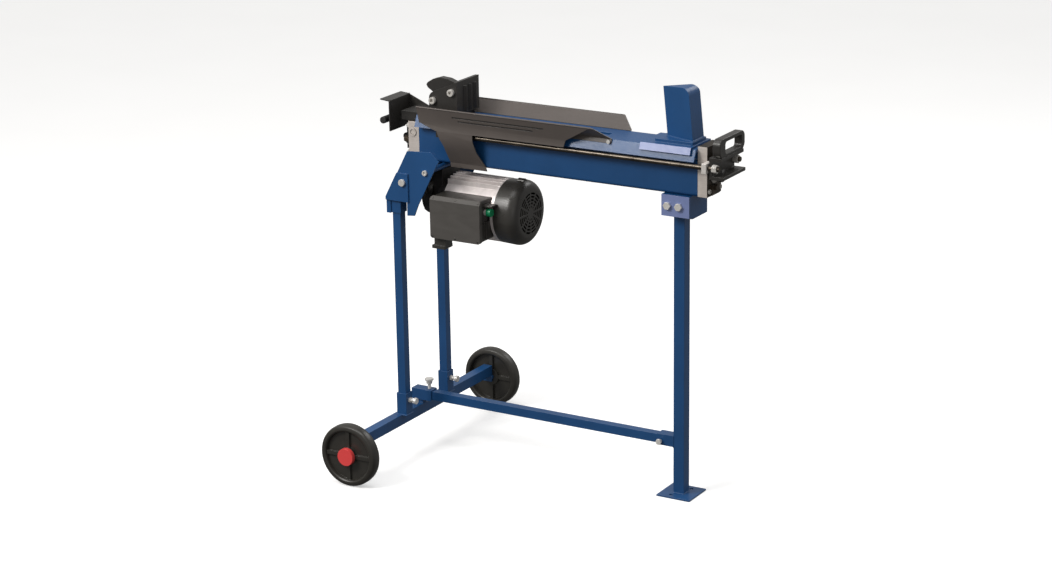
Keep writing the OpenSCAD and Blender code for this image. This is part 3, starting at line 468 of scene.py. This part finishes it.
def wedge_welds():
    """Round the blade's foot, and along both edges of the saddle plate."""
    blade_tip, blade_back, blade_half, saddle_top = -38, 41, 28.3, 868.8
    plate_start, plate_end, plate_half, bed_top = -50, 42, 34.3, 860.8
    blade = [(blade_tip, 0, saddle_top), (blade_back, -blade_half, saddle_top),
             (blade_back, blade_half, saddle_top)]
    bead("weld_wedge", blade, 2.3, closed=True, ripple_mm=3.4)
    for side, place in SIDES:
        edge = [(plate_start, side * plate_half, bed_top), (plate_end, side * plate_half, bed_top)]
        bead("weld_" + place + "_wedge_foot", edge, 1.6)


def spacer_welds():
    """Along both sides of the spacer between the axle and the rail's sleeve."""
    start, end, half, axle_top = -739, -719, 10.2, 109.4
    for side, place in SIDES:
        bead("weld_spacer_" + place, [(start, side * half, axle_top), (end, side * half, axle_top)], 1.6)


front_leg_welds()
rear_leg_welds()
wedge_welds()
spacer_welds()


# ---------------------------------------------------------------- threads


def thread(name, start, along, length_mm, diameter_mm, pitch_mm, slot, body):
    """Rolled thread: a V ridge wound round a screw's shank, from start along a unit vector."""
    along = Vector(along)
    across = along.orthogonal().normalized()
    up = along.cross(across)
    per_turn = 24
    count = int(length_mm / pitch_mm * per_turn)
    root, ridge_height, half_ridge = diameter_mm / 2 - 0.1, 0.45, 0.42 * pitch_mm
    bm = bmesh.new()
    rings = []
    for i in range(count + 1):
        turn = math.tau * i / per_turn
        out = across * math.cos(turn) + up * math.sin(turn)
        centre = Vector(start) + along * (pitch_mm * i / per_turn)
        height = ridge_height * max(0.1, min(1.0, i / per_turn, (count - i) / per_turn))
        ridge = ((-half_ridge, root), (0.0, root + height), (half_ridge, root))
        rings.append([bm.verts.new((centre + along * shift + out * r) * MM) for shift, r in ridge])
    for a, b in zip(rings, rings[1:]):
        for k in range(3):
            bm.faces.new((a[k], a[(k + 1) % 3], b[(k + 1) % 3], b[k]))
    bm.faces.new(rings[0])
    bm.faces.new(rings[-1])
    paint(add_piece(name, finish_mesh(name, bm), body), slot)


def screw_threads():
    """Threads on the pull rods' ends, the legs' clamp screws and the rail's clamp screw."""
    along_x, along_z = (1, 0, 0), (0, 0, 1)
    rod_corner, clamp_corner = (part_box(node)[1] / MM for node in ("pull_rods", "leg_clamp_screws"))
    rod_radius, rod_tip = 6, 6
    head_radius, head_and_tip = 8, 17
    for side, place in SIDES:
        rod_end = (rod_corner.x - rod_tip, side * (rod_corner.y - rod_radius), rod_corner.z - rod_radius)
        thread("thread_" + place + "_pull_rod", rod_end, along_x, 5.2, 2 * rod_radius, 1.75, "oiled_steel",
               "ram")
        shank = (clamp_corner.x - head_and_tip, side * (clamp_corner.y - head_radius),
                 clamp_corner.z - head_radius)
        thread("thread_" + place + "_clamp", shank, along_x, 10.5, 8, 1.25, "zinc", "frame")
    thread("thread_rail_lock", (-705, 0, 146), along_z, 14, 8, 1.25, "zinc", "frame")


screw_threads()


# ---------------------------------------------------------------- camera, floor and light


def fitted_camera():
    """Camera at the picture's viewing angle, from the fit of the object's straight edges."""
    azimuth, elevation, roll = (math.radians(degrees) for degrees in (30.87, 17.10, -0.884))
    place = Vector((2664.9, -5161.5, 2305.1))
    image_width, focal_px, sensor = 1052, 2618.96, 36
    far_clip_m = 200
    back = Vector((math.sin(azimuth) * math.cos(elevation), -math.cos(azimuth) * math.cos(elevation),
                   math.sin(elevation)))
    right = Vector((math.cos(azimuth), math.sin(azimuth), 0))
    up = back.cross(right)
    turned_right = right * math.cos(roll) + up * math.sin(roll)
    turned_up = up * math.cos(roll) - right * math.sin(roll)
    data = bpy.data.cameras.new("camera")
    data.sensor_width = sensor
    data.lens = sensor * focal_px / image_width
    data.clip_end = far_clip_m
    camera = bpy.data.objects.new("camera", data)
    scene.collection.objects.link(camera)
    turn = Matrix((turned_right, turned_up, back)).transposed().to_4x4()
    camera.matrix_world = Matrix.Translation(place * MM) @ turn
    scene.camera = camera


def area_light(name, place, size, power, tint=(1, 1, 1)):
    """Soft light aimed at the machine's middle; place and size in metres, power in watts."""
    middle = Vector((-0.35, 0.0, 0.6))
    data = bpy.data.lights.new(name, "AREA")
    data.shape = "RECTANGLE"
    data.size, data.size_y = size
    data.energy = power
    data.color = tint
    light = bpy.data.objects.new(name, data)
    scene.collection.objects.link(light)
    light.location = place
    light.rotation_mode = "QUATERNION"
    light.rotation_quaternion = (middle - Vector(place)).to_track_quat("-Z", "Y")


def floor_paper():
    """Pale paper that glows a little, so that its shadows stay faint. It is clear when seen from below."""
    g = Graph("floor_paper")
    paper = g.mix(g.noise(3, 2), (0.80, 0.80, 0.80, 1), (0.84, 0.84, 0.84, 1))
    g.set(Base_Color=paper, Roughness=0.9, Emission_Color=(1, 1, 1, 1), Emission_Strength=0.4)
    seen_from_below = g.add("ShaderNodeNewGeometry").outputs["Backfacing"]
    clear = g.add("ShaderNodeBsdfTransparent").outputs["BSDF"]
    surface = g.add("ShaderNodeMixShader", {0: seen_from_below, 1: g.shader.outputs["BSDF"], 2: clear})
    g.put(g.tree.nodes["Material Output"].inputs["Surface"], surface.outputs["Shader"])
    return g.material


def floor():
    """A wide sheet at floor level that takes shadows but sends no light back to the object."""
    half_m = 60
    mesh = bpy.data.meshes.new("floor")
    corners = [(-half_m, -half_m, 0), (half_m, -half_m, 0), (half_m, half_m, 0), (-half_m, half_m, 0)]
    mesh.from_pydata(corners, [], [(0, 1, 2, 3)])
    mesh.materials.append(floor_paper())
    sheet = bpy.data.objects.new("floor", mesh)
    scene.collection.objects.link(sheet)
    sheet.visible_diffuse = False
    sheet.visible_glossy = False


def studio_sky():
    """White behind the object; as a light it is bright overhead and dim below."""
    world = bpy.data.worlds.new("studio")
    world.use_nodes = True
    tree = world.node_tree
    back = tree.nodes["Background"]
    rise = tree.nodes.new("ShaderNodeSeparateXYZ")
    tree.links.new(tree.nodes.new("ShaderNodeTexCoord").outputs["Generated"], rise.inputs[0])
    level = tree.nodes.new("ShaderNodeMapRange")
    tree.links.new(rise.outputs["Z"], level.inputs["Value"])
    for key, value in (("From Min", -0.6), ("From Max", 0.9), ("To Min", 0.12), ("To Max", 0.62)):
        level.inputs[key].default_value = value
    seen = tree.nodes.new("ShaderNodeMath")
    seen.operation = "MAXIMUM"
    tree.links.new(level.outputs["Result"], seen.inputs[0])
    tree.links.new(tree.nodes.new("ShaderNodeLightPath").outputs["Is Camera Ray"], seen.inputs[1])
    tree.links.new(seen.outputs["Value"], back.inputs["Strength"])
    back.inputs["Color"].default_value = (1.0, 0.99, 0.97, 1)
    scene.world = world


fitted_camera()
floor()
studio_sky()
scene.view_settings.view_transform = "Standard"
area_light("key", (-2.2, -2.8, 3.0), (1.6, 1.4), 108, (1.0, 0.98, 0.95))
area_light("fill", (3.0, -2.4, 1.2), (1.6, 1.6), 4)
area_light("top", (-0.2, -0.4, 3.6), (2.4, 1.2), 30)
area_light("back", (0.6, 3.2, 2.8), (1.6, 1.2), 20)
